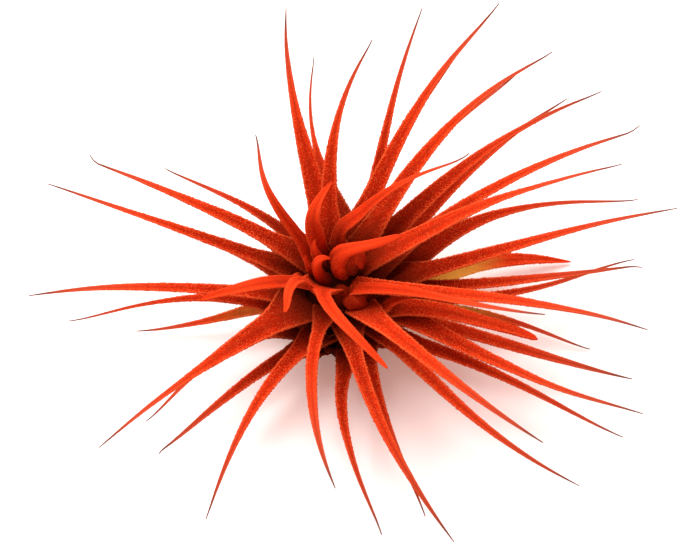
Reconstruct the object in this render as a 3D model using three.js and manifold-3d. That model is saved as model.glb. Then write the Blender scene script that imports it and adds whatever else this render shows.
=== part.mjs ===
// A sky plant: a rosette of narrow, channelled leaves on a short stem.
// Millimetres and degrees, +Z up. The origin is the middle of the flat foot of the stem.
// Bearings run anticlockwise from +X, seen from above. The front of the plant faces -Y.

import * as THREE from 'three';
import { mergeVertices } from 'three/addons/utils/BufferGeometryUtils.js';
import Module from 'manifold-3d';

const wasm = await Module();
wasm.setup();

// Stem: a short tapering core with a flat foot and a domed top, hidden among the leaf bases
const STEM_FOOT_RADIUS = 4;
const STEM_WAIST_HEIGHT = 3.5;
const STEM_WAIST_RADIUS = 6.4;
const STEM_DOME_HEIGHT = 14.5;
const STEM_DOME_RADIUS = 2.4;
const STEM_TOP_HEIGHT = 15.8;
const STEM_TAPER = 0.8;
const STEM_STEPS = 7;
const DOME_STEPS = 3;
const STEM_SIDES = 24;

// Leaf blade: thickest at the root, where it flares to a clasping base, with a fine tip
const ROOT_GAP = 0.3;
const LEAF_STEPS = 10;
const STEP_SPREAD = 1.15;
const BLADE_THICKNESS = 1.2;
const TIP_THICKNESS = 0.6;
const TIP_WIDTH = 0.7;
const TAPER_POWER = 1.35;
const FLARE = 0.5;
const FLARE_END = 0.14;
const CHANNEL_DEPTH = 0.2;
const CLASP_DEPTH = 0.12;
const ARCH_PEAK = 0.42;

// Young leaf: still rolled up, so its section is an oval
const ROLL_SIDES = 8;
const ROLL_DEPTH = 0.7;
const ROLL_TIP_WIDTH = 0.8;
const ROLL_TAPER_POWER = 0.6;

// Clear space kept where one leaf base lies against another, and the shared volume too small to cut
const SHEATH_GAP = 0.3;
const LEAST_CUT = 0.02;

// Leaves of the left side, the front, the right side and the back.
// Columns: name, bearing of the root, bearing of the tip, reach of the tip from the stem's axis,
// height of the tip, height of the root, upward arch, sideways sway, width
const BLADES = [
  ['leaf_left_1', 140, 164, 45.5, 21.5, 9, 5, 2.5, 2.8],
  ['leaf_left_2', 125, 158, 40, 25.5, 10.5, 6, 2, 3.3],
  ['leaf_left_3', 110, 140, 35.5, 9, 5, 3, -1, 2.6],
  ['leaf_left_4', 122, 130, 19, 32.5, 13, 5, 4, 2.7],
  ['leaf_left_5', 175, 184, 46.5, 15.5, 8, 5, 1, 2.4],
  ['leaf_left_6', 178, 207, 22.5, 27.5, 12, 6, 1.5, 2.6],
  ['leaf_left_7', 200, 188, 41, 12, 6, 4, -1.5, 2.6],
  ['leaf_left_8', 165, 183, 31.5, 0.5, 3.5, 2, 1.5, 2.8],
  ['leaf_left_9', 212, 237, 14.5, 27.5, 13, 5, -1.5, 2],
  ['leaf_left_10', 195, 212, 42.5, 3, 9, 8, 2, 3.6],
  ['leaf_left_11', 218, 210, 34, 0.5, 5, 5, -1.5, 2.8],
  ['leaf_left_12', 240, 219, 35.5, 0.5, 4, 5, 1.5, 2.8],
  ['leaf_left_13', 125, 147, 40, 8.5, 4, 3, 0, 2.6],
  ['leaf_left_14', 142, 157, 40.5, 10, 3.5, 3, 1.5, 2.6],
  ['leaf_front_1', 245, 239, 38.5, 0.5, 7, 6.5, -1.5, 3.1],
  ['leaf_front_2', 245, 269, 34.5, 16, 11.5, 6, -3, 2.4],
  ['leaf_front_3', 255, 289, 21, 25, 13, 7, -3.5, 2.4],
  ['leaf_front_4', 285, 294, 41.5, 4, 9.5, 8, -3.5, 3],
  ['leaf_front_5', 320, 291, 35.5, 2, 6, 6, -2.5, 2.6],
  ['leaf_front_6', 290, 280, 36, 0.5, 4, 5, -4, 2.6],
  ['leaf_front_7', 325, 322, 45.5, 1.5, 7.5, 7.5, -5, 3],
  ['leaf_front_8', 312, 316, 40.5, 17.5, 12, 7.5, -3.5, 3.4],
  ['leaf_right_1', 318, 334, 47.5, 4, 4.5, 4, 0, 2.8],
  ['leaf_right_2', 2, 338, 49, 5.5, 8, 6, -4.5, 3.8],
  ['leaf_right_3', 350, 346, 46, 2.5, 5.5, 4, -2, 2.8],
  ['leaf_right_4', 332, 342, 31, 13.5, 9, 3.5, 0, 3.4],
  ['leaf_right_5', 348, 353, 39, 0.5, 3.5, 2, 2.5, 2.8],
  ['leaf_right_6', 0, 349, 46.5, 15, 10.5, 5, -0.5, 2.8],
  ['leaf_right_7', 350, 336, 32, 28.5, 13, 5, -2.5, 2.5],
  ['leaf_right_8', 25, 2, 45, 16, 7.5, 4, -3, 2.6],
  ['leaf_right_9', 25, 9, 46, 7.5, 4.5, 3, -4.5, 2.4],
  ['leaf_right_10', 12, 16, 38, 0.5, 3.5, 2, 2.5, 3.8],
  ['leaf_right_11', 20, 10, 51.5, 20, 9.5, 5, -1.5, 3.4],
  ['leaf_right_12', 12, 16, 47.5, 15, 6, 4, 4, 3],
  ['leaf_right_13', 35, 15, 43, 29.5, 13, 7, 0, 3.7],
  ['leaf_right_14', 32, 24, 49, 25.5, 10, 5.5, 0.5, 2.8],
  ['leaf_back_1', 60, 32, 46.5, 28, 8, 5, 2, 3.9],
  ['leaf_back_2', 40, 41, 47, 16.5, 5.5, 4, 1.5, 2.8],
  ['leaf_back_3', 52, 42, 43, 32.5, 11, 5.5, 3.5, 3.6],
  ['leaf_back_4', 95, 27, 21, 35.5, 13, 5.5, 1.5, 3.4],
  ['leaf_back_5', 82, 57, 43.5, 34.5, 9.5, 5, 1.5, 3.6],
  ['leaf_back_6', 65, 74, 45.5, 22.5, 6, 4, 0.5, 2.6],
  ['leaf_back_7', 108, 80, 27.5, 38.5, 11.5, 5, 3, 3.3],
  ['leaf_back_8', 132, 99, 7, 32, 14, 4, 2.2, 2.7],
  ['leaf_back_9', 98, 103, 36.5, 34, 8, 5, 1, 4.4],
  ['leaf_back_10', 50, 95, 46, 5.5, 4, 2.5, 3.8, 3.4],
  ['leaf_back_11', 88, 66, 51, 10, 4.5, 3, 1.5, 2.8],
  ['leaf_back_12', 108, 101, 43.5, 3.5, 3, 3, -1, 2.8],
  ['leaf_back_13', 55, 54, 49, 11, 4, 3.5, 3.5, 2.8],
];

// Young leaves of the heart, which curl over.
// Columns: name, width, then the root, two points that steer the curve, and the tip
const HEART = [
  ['heart_leaf_1', 1.7, [-2, -0.5, 13.5], [-4.5, -2, 18.5], [-4.5, -1, 24.5], [-1, 0.5, 20.5]],
  ['heart_leaf_2', 3.2, [1.5, -1, 13], [-1.5, -4.5, 19], [-2, -0.5, 27], [9, 1.5, 25.5]],
  ['heart_leaf_3', 2.6, [3, 0, 12.5], [1.5, 0, 20], [5.5, 1, 22.5], [6.5, 0, 17]],
  ['heart_leaf_4', 1.3, [-2.5, 2, 14], [-3, 1.5, 19], [-4.5, 1.5, 21.5], [-3.5, 2.5, 22.5]],
  ['heart_leaf_5', 1.1, [-3.5, 0.5, 14], [-4.5, 0, 17.5], [-5, 0, 19.5], [-5, 0.5, 21]],
  ['heart_leaf_6', 2.6, [2.5, -2.5, 12.5], [0, -4.5, 15.5], [2, -5, 18], [5.5, -4.5, 15]],
  ['heart_leaf_7', 2, [6.5, -4, 9], [6, -5, 14], [7.5, -4.5, 17.5], [11, -4, 16]],
  ['heart_leaf_8', 1.8, [1, -3.5, 12], [-0.5, -4, 15], [0.5, -5.5, 17], [2, -6, 14]],
];

const BLADE_COLOUR = 0xd8260c;
const HEART_COLOUR = 0xe8340e;
const STEM_COLOUR = 0x6a3a1c;
const LEAF_ROUGHNESS = 0.9;
const STEM_ROUGHNESS = 0.95;

const onBearing = (degrees, radius, height) => {
  const angle = THREE.MathUtils.degToRad(degrees);
  return new THREE.Vector3(radius * Math.cos(angle), radius * Math.sin(angle), height);
};

// The stem's outline: a taper up to the dome, and a quarter ellipse over it
const stemRadius = (height) => {
  if (height > STEM_DOME_HEIGHT) {
    const over = (height - STEM_DOME_HEIGHT) / (STEM_TOP_HEIGHT - STEM_DOME_HEIGHT);
    return STEM_DOME_RADIUS * Math.sqrt(1 - over ** 2);
  }
  const down = (STEM_DOME_HEIGHT - height) / (STEM_DOME_HEIGHT - STEM_WAIST_HEIGHT);
  const spread = THREE.MathUtils.clamp(down, 0, 1) ** STEM_TAPER;
  return THREE.MathUtils.lerp(STEM_DOME_RADIUS, STEM_WAIST_RADIUS, spread);
};

// Rises from 0 at the root to 1 at its peak and falls back to 0 at the tip
const swell = (t) => {
  const fall = (1 - ARCH_PEAK) / ARCH_PEAK;
  return (t * (1 - t) ** fall) / (ARCH_PEAK * (1 - ARCH_PEAK) ** fall);
};

const bladeLine = (blade, t) => {
  const root = onBearing(blade.rootBearing, stemRadius(blade.rootHeight) + ROOT_GAP, blade.rootHeight);
  const tip = onBearing(blade.tipBearing, blade.reach, blade.tipHeight);
  const rise = swell(t);
  const bend = onBearing(blade.tipBearing + 90, blade.sway * rise, blade.arch * rise);
  return root.lerp(tip, t).add(bend);
};

const bladeWidth = (blade, t) => {
  const taper = TIP_WIDTH + (blade.width - TIP_WIDTH) * (1 - t) ** TAPER_POWER;
  const flare = 1 + FLARE * (1 - THREE.MathUtils.smoothstep(t, 0, FLARE_END));
  return taper * flare;
};

// Six corners of a V-shaped section, anticlockwise when seen from the root
const bladeCorners = (blade, t, grow) => {
  const half = bladeWidth(blade, t) / 2 + grow;
  const thick = THREE.MathUtils.lerp(BLADE_THICKNESS, TIP_THICKNESS, t) / 2 + grow;
  const clasp = CLASP_DEPTH * (1 - THREE.MathUtils.smoothstep(t, 0, FLARE_END));
  const lift = (CHANNEL_DEPTH + clasp) * (bladeWidth(blade, t) - TIP_WIDTH);
  return [
    [-half, lift - thick],
    [0, -thick],
    [half, lift - thick],
    [half, lift + thick],
    [0, thick],
    [-half, lift + thick],
  ];
};

// Corners of an oval section, anticlockwise when seen from the root
const rollCorners = (width, t, grow) => {
  const taper = ROLL_TIP_WIDTH + (width - ROLL_TIP_WIDTH) * (1 - t) ** ROLL_TAPER_POWER;
  const half = taper / 2 + grow;
  const thick = Math.max(taper * ROLL_DEPTH, TIP_THICKNESS) / 2 + grow;
  const corners = [];
  for (let side = 0; side < ROLL_SIDES; side += 1) {
    const angle = (2 * Math.PI * (side + 0.5)) / ROLL_SIDES;
    corners.push([half * Math.cos(angle), thick * Math.sin(angle)]);
  }
  return corners;
};

// A blade's faces lie level across it
const readBlade = (row) => {
  const [name, rootBearing, tipBearing, reach, tipHeight, rootHeight, arch, sway, width] = row;
  const blade = { rootBearing, tipBearing, reach, tipHeight, rootHeight, arch, sway, width };
  const line = (t) => bladeLine(blade, t);
  const level = (along) => along.clone().cross(new THREE.Vector3(0, 0, 1)).normalize();
  const corners = (t, grow) => bladeCorners(blade, t, grow);
  return { name, rootHeight, line, level, corners, color: BLADE_COLOUR };
};

// A young leaf curls in one plane, and its faces lie level across that plane
const readYoungLeaf = ([name, width, ...places]) => {
  const [root, lift, fold, tip] = places.map((place) => new THREE.Vector3(...place));
  const curve = new THREE.CubicBezierCurve3(root, lift, fold, tip);
  const chord = tip.clone().sub(root);
  const outward = lift.clone().add(fold).sub(root).sub(tip);
  const side = chord.cross(outward);
  const line = (t) => curve.getPoint(t);
  const level = (along) => side.clone().projectOnPlane(along).normalize();
  const corners = (t, grow) => rollCorners(width, t, grow);
  return { name, line, level, corners, color: HEART_COLOUR };
};

const leafSection = (leaf, t, grow) => {
  const near = 0.01;
  const along = leaf.line(Math.min(t + near, 1)).sub(leaf.line(Math.max(t - near, 0))).normalize();
  const across = leaf.level(along);
  const up = across.clone().cross(along);
  const middle = leaf.line(t);
  if (t === 0) {
    middle.addScaledVector(along, -grow);
  }
  if (t === 1) {
    middle.addScaledVector(along, grow);
  }
  return leaf.corners(t, grow).map(([sideways, upward]) => (
    middle.clone().addScaledVector(across, sideways).addScaledVector(up, upward)));
};

// A loft through the sections, grown by `grow` on every side
const leafGeometry = (leaf, grow = 0) => {
  const sections = [];
  for (let step = 0; step <= LEAF_STEPS; step += 1) {
    sections.push(leafSection(leaf, (step / LEAF_STEPS) ** STEP_SPREAD, grow));
  }
  const sides = sections[0].length;
  const index = [];
  for (let step = 0; step < LEAF_STEPS; step += 1) {
    for (let side = 0; side < sides; side += 1) {
      const here = step * sides + side;
      const next = step * sides + ((side + 1) % sides);
      // The upper face is split like the lower one, so that a thin blade doesn't cross itself
      if (side < sides / 2) {
        index.push(here, next + sides, next, here, here + sides, next + sides);
      } else {
        index.push(here, here + sides, next, next, here + sides, next + sides);
      }
    }
  }
  // Each end is closed by a fan round its second corner
  const tipStart = LEAF_STEPS * sides;
  for (let turn = 1; turn < sides - 1; turn += 1) {
    const b = (1 + turn) % sides;
    const c = (2 + turn) % sides;
    index.push(1, b, c, tipStart + 1, tipStart + c, tipStart + b);
  }
  const geometry = new THREE.BufferGeometry().setFromPoints(sections.flat());
  geometry.setIndex(index);
  return geometry;
};

// A turned solid from the foot to the dome, growing by `grow` on every side
const stemGeometry = (grow = 0) => {
  const profile = [new THREE.Vector2(0, -grow), new THREE.Vector2(STEM_FOOT_RADIUS + grow, -grow)];
  for (let step = 0; step <= STEM_STEPS; step += 1) {
    const height = THREE.MathUtils.lerp(STEM_WAIST_HEIGHT, STEM_DOME_HEIGHT, step / STEM_STEPS);
    profile.push(new THREE.Vector2(stemRadius(height) + grow, height));
  }
  for (let step = 1; step < DOME_STEPS; step += 1) {
    const height = THREE.MathUtils.lerp(STEM_DOME_HEIGHT, STEM_TOP_HEIGHT, Math.sqrt(step / DOME_STEPS));
    profile.push(new THREE.Vector2(stemRadius(height) + grow, height));
  }
  profile.push(new THREE.Vector2(0, STEM_TOP_HEIGHT + grow));
  return new THREE.LatheGeometry(profile, STEM_SIDES).rotateX(Math.PI / 2);
};

const toSolid = (geometry) => {
  geometry.deleteAttribute('normal');
  geometry.deleteAttribute('uv');
  const merged = mergeVertices(geometry);
  const vertProperties = new Float32Array(merged.attributes.position.array);
  const triVerts = new Uint32Array(merged.index.array);
  return new wasm.Manifold(new wasm.Mesh({ numProp: 3, vertProperties, triVerts }));
};

const toGeometry = (solid) => {
  const mesh = solid.getMesh();
  const geometry = new THREE.BufferGeometry();
  geometry.setAttribute('position', new THREE.BufferAttribute(mesh.vertProperties.slice(), 3));
  geometry.setIndex(new THREE.BufferAttribute(mesh.triVerts.slice(), 1));
  return geometry;
};

const largestPiece = (solid) => (
  solid.decompose().reduce((best, piece) => (piece.volume() > best.volume() ? piece : best)));

const addMesh = (group, name, geometry, color, roughness) => {
  const mesh = new THREE.Mesh(geometry, new THREE.MeshStandardMaterial({ color, roughness }));
  mesh.name = name;
  geometry.computeVertexNormals();
  group.add(mesh);
};

// The young leaves keep their base, and each blade from the highest down is cut clear of the stem
// and of the leaves before it
const makeLeaves = () => {
  const blades = BLADES.map(readBlade).sort((a, b) => b.rootHeight - a.rootHeight);
  const leaves = [...HEART.map(readYoungLeaf), ...blades];
  const group = new THREE.Group();
  const above = [toSolid(stemGeometry(ROOT_GAP))];
  for (const leaf of leaves) {
    let solid = toSolid(leafGeometry(leaf));
    for (const keptClear of above) {
      if (solid.intersect(keptClear).volume() > LEAST_CUT) {
        solid = solid.subtract(keptClear);
      }
    }
    above.push(toSolid(leafGeometry(leaf, SHEATH_GAP)));
    addMesh(group, leaf.name, toGeometry(largestPiece(solid)), leaf.color, LEAF_ROUGHNESS);
  }
  return group;
};

const plant = new THREE.Group();
addMesh(plant, 'stem', stemGeometry(), STEM_COLOUR, STEM_ROUGHNESS);
plant.add(makeLeaves());

export default plant;
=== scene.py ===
# %% [markdown]
# # A dyed sky plant
# A sky plant is a rosette of narrow leaves on a short stem. It lives without soil, and takes its water
# through tiny silver scales that cover every leaf, so its skin looks like velvet. This one has been dyed
# red-orange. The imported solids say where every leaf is; this lesson gives each leaf its true section, its
# hair-fine tip, its velvet and its colour.

# %% Load the solids
import math
import bpy
import numpy as np
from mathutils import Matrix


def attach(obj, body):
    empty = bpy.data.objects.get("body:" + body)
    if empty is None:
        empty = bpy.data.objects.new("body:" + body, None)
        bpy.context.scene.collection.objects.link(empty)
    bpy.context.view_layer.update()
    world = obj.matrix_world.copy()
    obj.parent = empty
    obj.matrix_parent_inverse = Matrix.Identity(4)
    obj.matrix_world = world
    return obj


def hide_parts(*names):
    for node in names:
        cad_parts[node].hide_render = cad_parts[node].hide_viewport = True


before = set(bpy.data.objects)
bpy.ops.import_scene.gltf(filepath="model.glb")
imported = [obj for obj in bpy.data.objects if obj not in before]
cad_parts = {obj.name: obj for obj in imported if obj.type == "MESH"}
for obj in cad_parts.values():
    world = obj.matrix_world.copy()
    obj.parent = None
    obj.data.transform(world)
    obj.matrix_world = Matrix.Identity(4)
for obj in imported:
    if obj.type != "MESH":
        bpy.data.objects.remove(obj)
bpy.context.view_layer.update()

MM = 0.001
rng = np.random.default_rng(11)
print("solids:", len(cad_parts))

# %% [markdown]
# ## The leaves' sizes
# Each row is one leaf, in millimetres and degrees, as its solid was made: the bearing of its root and of its
# tip seen from above, how far the tip reaches from the stem's axis, the height of tip and root, how much the
# leaf arches upward and sways sideways between them, and its width. A table is the honest form here,
# because the leaves of a real plant lie as they grew.
#
# The young leaves of the heart have rows of their own. The first four numbers say how the roll tapers: its
# full width, the power of its taper, the width of its blunt end and the share of its width left at its neck.
# Then come the points where its curve starts, lifts, folds over and ends. Five of them curl a little
# otherwise than their solids, so that the heart looks full from above.

# %% Name the sizes of the leaves
BLADES = [
    ("leaf_left_1", 140, 164, 45.5, 21.5, 9, 5, 2.5, 2.8),
    ("leaf_left_2", 125, 158, 40, 25.5, 10.5, 6, 2, 3.3),
    ("leaf_left_3", 110, 140, 35.5, 9, 5, 3, -1, 2.6),
    ("leaf_left_4", 122, 130, 19, 32.5, 13, 5, 4, 2.7),
    ("leaf_left_5", 175, 184, 46.5, 15.5, 8, 5, 1, 2.4),
    ("leaf_left_6", 178, 207, 22.5, 27.5, 12, 6, 1.5, 2.6),
    ("leaf_left_7", 200, 188, 41, 12, 6, 4, -1.5, 2.6),
    ("leaf_left_8", 165, 183, 31.5, 0.5, 3.5, 2, 1.5, 2.8),
    ("leaf_left_9", 212, 237, 14.5, 27.5, 13, 5, -1.5, 2),
    ("leaf_left_10", 195, 212, 42.5, 3, 9, 8, 2, 3.6),
    ("leaf_left_11", 218, 210, 34, 0.5, 5, 5, -1.5, 2.8),
    ("leaf_left_12", 240, 219, 35.5, 0.5, 4, 5, 1.5, 2.8),
    ("leaf_left_13", 125, 147, 40, 8.5, 4, 3, 0, 2.6),
    ("leaf_left_14", 142, 157, 40.5, 10, 3.5, 3, 1.5, 2.6),
    ("leaf_front_1", 245, 239, 38.5, 0.5, 7, 6.5, -1.5, 3.1),
    ("leaf_front_2", 245, 269, 34.5, 16, 11.5, 6, -3, 2.4),
    ("leaf_front_3", 255, 289, 21, 25, 13, 7, -3.5, 2.4),
    ("leaf_front_4", 285, 294, 41.5, 4, 9.5, 8, -3.5, 3),
    ("leaf_front_5", 320, 291, 35.5, 2, 6, 6, -2.5, 2.6),
    ("leaf_front_6", 290, 280, 36, 0.5, 4, 5, -4, 2.6),
    ("leaf_front_7", 325, 322, 45.5, 1.5, 7.5, 7.5, -5, 3),
    ("leaf_front_8", 312, 316, 40.5, 17.5, 12, 7.5, -3.5, 3.4),
    ("leaf_right_1", 318, 334, 47.5, 4, 4.5, 4, 0, 2.8),
    ("leaf_right_2", 2, 338, 49, 5.5, 8, 6, -4.5, 3.8),
    ("leaf_right_3", 350, 346, 46, 2.5, 5.5, 4, -2, 2.8),
    ("leaf_right_4", 332, 342, 31, 13.5, 9, 3.5, 0, 3.4),
    ("leaf_right_5", 348, 353, 39, 0.5, 3.5, 2, 2.5, 2.8),
    ("leaf_right_6", 0, 349, 46.5, 15, 10.5, 5, -0.5, 2.8),
    ("leaf_right_7", 350, 336, 32, 28.5, 13, 5, -2.5, 2.5),
    ("leaf_right_8", 25, 2, 45, 16, 7.5, 4, -3, 2.6),
    ("leaf_right_9", 25, 9, 46, 7.5, 4.5, 3, -4.5, 2.4),
    ("leaf_right_10", 12, 16, 38, 0.5, 3.5, 2, 2.5, 3.8),
    ("leaf_right_11", 20, 10, 51.5, 20, 9.5, 5, -1.5, 3.4),
    ("leaf_right_12", 12, 16, 47.5, 15, 6, 4, 4, 3),
    ("leaf_right_13", 35, 15, 43, 29.5, 13, 7, 0, 3.7),
    ("leaf_right_14", 32, 24, 49, 25.5, 10, 5.5, 0.5, 2.8),
    ("leaf_back_1", 60, 32, 46.5, 28, 8, 5, 2, 3.9),
    ("leaf_back_2", 40, 41, 47, 16.5, 5.5, 4, 1.5, 2.8),
    ("leaf_back_3", 52, 42, 43, 32.5, 11, 5.5, 3.5, 3.6),
    ("leaf_back_4", 95, 27, 21, 35.5, 13, 5.5, 1.5, 3.4),
    ("leaf_back_5", 82, 57, 43.5, 34.5, 9.5, 5, 1.5, 3.6),
    ("leaf_back_6", 65, 74, 45.5, 22.5, 6, 4, 0.5, 2.6),
    ("leaf_back_7", 108, 80, 27.5, 38.5, 11.5, 5, 3, 3.3),
    ("leaf_back_8", 132, 99, 7, 32, 14, 4, 2.2, 2.7),
    ("leaf_back_9", 98, 103, 36.5, 34, 8, 5, 1, 4.4),
    ("leaf_back_10", 50, 95, 46, 5.5, 4, 2.5, 3.8, 3.4),
    ("leaf_back_11", 88, 66, 51, 10, 4.5, 3, 1.5, 2.8),
    ("leaf_back_12", 108, 101, 43.5, 3.5, 3, 3, -1, 2.8),
    ("leaf_back_13", 55, 54, 49, 11, 4, 3.5, 3.5, 2.8),
]
HEART = [
    ("heart_leaf_1", (2.5, 0.75, 0.3, 0.9),
     (-1.4, 0, 14), (-4.2, -1.4, 18), (-3.9, 0.1, 23), (-1.3, 0, 21)),
    ("heart_leaf_2", (7.2, 3.0, 1.45, 0.3),
     (0.7, -0.2, 13.5), (-0.9, 4, 19.5), (-0.2, -3.3, 27.5), (9.1, 2.4, 24)),
    ("heart_leaf_3", (3.4, 0.4, 1.8, 0.5),
     (2.6, 2.2, 13), (0.5, -0.1, 19.5), (2.2, 1.7, 23.5), (3.4, 1.3, 15.8)),
    ("heart_leaf_4", (1.9, 0.6, 0.0, 1.0),
     (-2.5, 2, 14), (-3, 1.5, 19), (-4.5, 1.5, 21.5), (-3.5, 2.5, 22.5)),
    ("heart_leaf_5", (1.1, 0.6, 0.0, 1.0),
     (-3.5, 0.5, 14), (-4.5, 0, 17.5), (-5, 0, 19.5), (-5, 0.5, 21)),
    ("heart_leaf_6", (4.2, 0.4, 2.0, 0.5),
     (4.3, -1, 10.5), (2.1, -1.6, 15.2), (0.9, -5, 17), (3.9, -3.2, 11.6)),
    ("heart_leaf_7", (2.0, 0.6, 0.0, 1.0),
     (6.5, -4, 9), (6, -5, 14), (7.5, -4.5, 17.5), (11, -4, 16)),
    ("heart_leaf_8", (2.4, 0.5, 1.0, 0.5),
     (0.8, -3, 12), (-0.9, -3, 15.4), (0, -2.4, 17.6), (1.3, -3.2, 15.5)),
]
ARCH_PEAK = 0.42
print("leaves:", len(BLADES) + len(HEART))

# %% [markdown]
# ## What sets one blade apart
# The solids give every blade the same taper and one plain bend. A real blade slims at its own rate and
# wanders a little. Each row holds the width that the outer part of a blade tapers from, and how far its
# middle line lies to the right of the plain bend at its half, at eight tenths and at its tip, all in
# millimetres.
#
# In the crown, leaves push each other aside: some roots sit elsewhere than on the plain stem, given as
# bearing, radius and height, and three blades have a shoulder, which bulges the middle line just above its
# root. A few tips end in a small hook, given as a pull in three directions.

# %% Name the finer shape of the blades
FINE_SHAPES = {
    "leaf_left_1": (2.2, 0.2, 0.15, 0.0),
    "leaf_left_2": (2.6, -0.1, -0.45, -0.7),
    "leaf_left_3": (1.9, -0.15, -0.35, -0.25),
    "leaf_left_4": (2.1, 0.2, -0.25, -0.1),
    "leaf_left_5": (2.8, -0.1, 0.4, 0.0),
    "leaf_left_6": (3.0, -0.3, 0.0, 0.0),
    "leaf_left_7": (1.7, 0.0, 0.0, 0.0),
    "leaf_left_8": (2.0, 0.2, -0.3, 0.0),
    "leaf_left_9": (2.2, 0.0, 0.0, 0.0),
    "leaf_left_10": (2.6, -0.15, 0.25, 0.1),
    "leaf_left_12": (2.9, 0.9, 0.25, 0.0),
    "leaf_left_13": (2.0, 0.6, 0.1, 0.0),
    "leaf_left_14": (1.5, 1.5, 0.9, 0.4),
    "leaf_front_1": (2.6, -0.15, 0.4, 0.1),
    "leaf_front_2": (3.5, 0.0, 0.7, 0.0),
    "leaf_front_4": (3.3, 0.3, 0.65, 0.1),
    "leaf_front_6": (2.3, -0.35, 0.0, 0.0),
    "leaf_front_7": (2.8, -0.25, 0.55, 0.0),
    "leaf_front_8": (3.2, -0.2, 0.1, -0.1),
    "leaf_right_1": (2.5, 0.2, 0.45, 0.4),
    "leaf_right_2": (3.1, 0.0, 0.3, -0.35),
    "leaf_right_3": (3.5, -0.5, -0.15, -0.3),
    "leaf_right_6": (3.6, 0.65, -0.25, -0.2),
    "leaf_right_7": (2.3, -0.5, 0.15, 0.0),
    "leaf_right_8": (3.1, 0.0, 0.0, 0.0),
    "leaf_right_10": (5.0, 0.15, -0.45, -0.1),
    "leaf_right_11": (2.95, 0.4, -0.35, -0.25),
    "leaf_right_12": (2.2, -0.5, -0.75, -0.5),
    "leaf_right_13": (2.2, 0.9, 0.15, -0.15),
    "leaf_right_14": (3.1, 0.1, -0.1, 0.3),
    "leaf_back_1": (2.4, 0.3, -0.5, -0.2),
    "leaf_back_2": (2.6, 0.5, -0.15, 0.0),
    "leaf_back_3": (2.6, 1.4, -0.1, -0.25),
    "leaf_back_4": (1.3, 0.95, 0.8, 0.0),
    "leaf_back_5": (2.8, 0.15, -0.1, 0.3),
    "leaf_back_6": (2.1, 0.2, 0.0, 0.35),
    "leaf_back_7": (2.1, 0.3, -0.3, 0.0),
    "leaf_back_8": (3.7, 0.0, 0.0, 0.0),
    "leaf_back_9": (2.8, -0.7, -0.75, 0.2),
    "leaf_back_10": (1.4, 0.3, -0.7, -0.15),
}
OUTER_SHARE = 0.85
SHIFT_PLACES = (0, 0.5, 0.8, 1)
TIP_HOOKS = {
    "leaf_left_2": (0.2, 0.4, 0.9),
    "leaf_left_12": (0.3, -0.1, 0.0),
    "leaf_right_8": (0.4, -0.3, 0.0),
    "leaf_right_14": (0.1, 0.4, 0.5),
}
HOOK_START = 0.96
ROOTS = {
    "leaf_front_3": (226, 2.3, 14),
    "leaf_front_8": (310, 4.7, 12),
    "leaf_right_6": (-30.5, 2.2, 15),
    "leaf_right_7": (-53, 2.25, 14.4),
    "leaf_back_3": (68, 4.2, 11.5),
    "leaf_back_4": (95, 4.4, 14.4),
}
ROOT_ROUND = 0.008
SHOULDERS = {
    "leaf_left_4": (-0.7, -0.4, 0.0),
    "leaf_right_13": (0.0, 0.0, 0.9),
    "leaf_back_4": (-0.2, 0.4, 3.5),
}
SHOULDER_AT = 0.055


def fine_shape(name, width):
    return FINE_SHAPES.get(name, (OUTER_SHARE * width, 0.0, 0.0, 0.0))


print("blades with a finer shape:", len(FINE_SHAPES))

# %% [markdown]
# ## The stem's outline
# Every blade starts on the stem, so the stem's radius at a height comes first. It tapers from a waist near
# the foot to a small dome under the heart.

# %% Give the stem's radius at a height
STEM_FOOT_RADIUS = 4.0
STEM_WAIST_HEIGHT = 3.5
STEM_WAIST_RADIUS = 6.4
STEM_DOME_HEIGHT = 14.5
STEM_DOME_RADIUS = 2.4
STEM_TOP_HEIGHT = 15.8
STEM_TAPER = 0.8
ROOT_GAP = 0.3


def stem_radius(height):
    if height > STEM_DOME_HEIGHT:
        over = (height - STEM_DOME_HEIGHT) / (STEM_TOP_HEIGHT - STEM_DOME_HEIGHT)
        return STEM_DOME_RADIUS * math.sqrt(max(1 - over**2, 0))
    down = (STEM_DOME_HEIGHT - height) / (STEM_DOME_HEIGHT - STEM_WAIST_HEIGHT)
    spread = min(max(down, 0), 1) ** STEM_TAPER
    return STEM_DOME_RADIUS + (STEM_WAIST_RADIUS - STEM_DOME_RADIUS) * spread


print("stem radius under the heart, mm:", round(stem_radius(14), 2))

# %% [markdown]
# ## The line of a leaf
# A blade runs straight from root to tip, plus one swell that lifts it and one that sways it. The swell is 0
# at both ends, so the ends stay where the solid has them. A young leaf of the heart curls over so far that
# a plain curve with two steering points suits it better.

# %% Follow a leaf from root to tip


def on_bearing(degrees, radius, height):
    angle = math.radians(degrees)
    return np.array([radius * math.cos(angle), radius * math.sin(angle), height])


def swell(t):
    fall = (1 - ARCH_PEAK) / ARCH_PEAK
    return t * (1 - t) ** fall / (ARCH_PEAK * (1 - ARCH_PEAK) ** fall)


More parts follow.
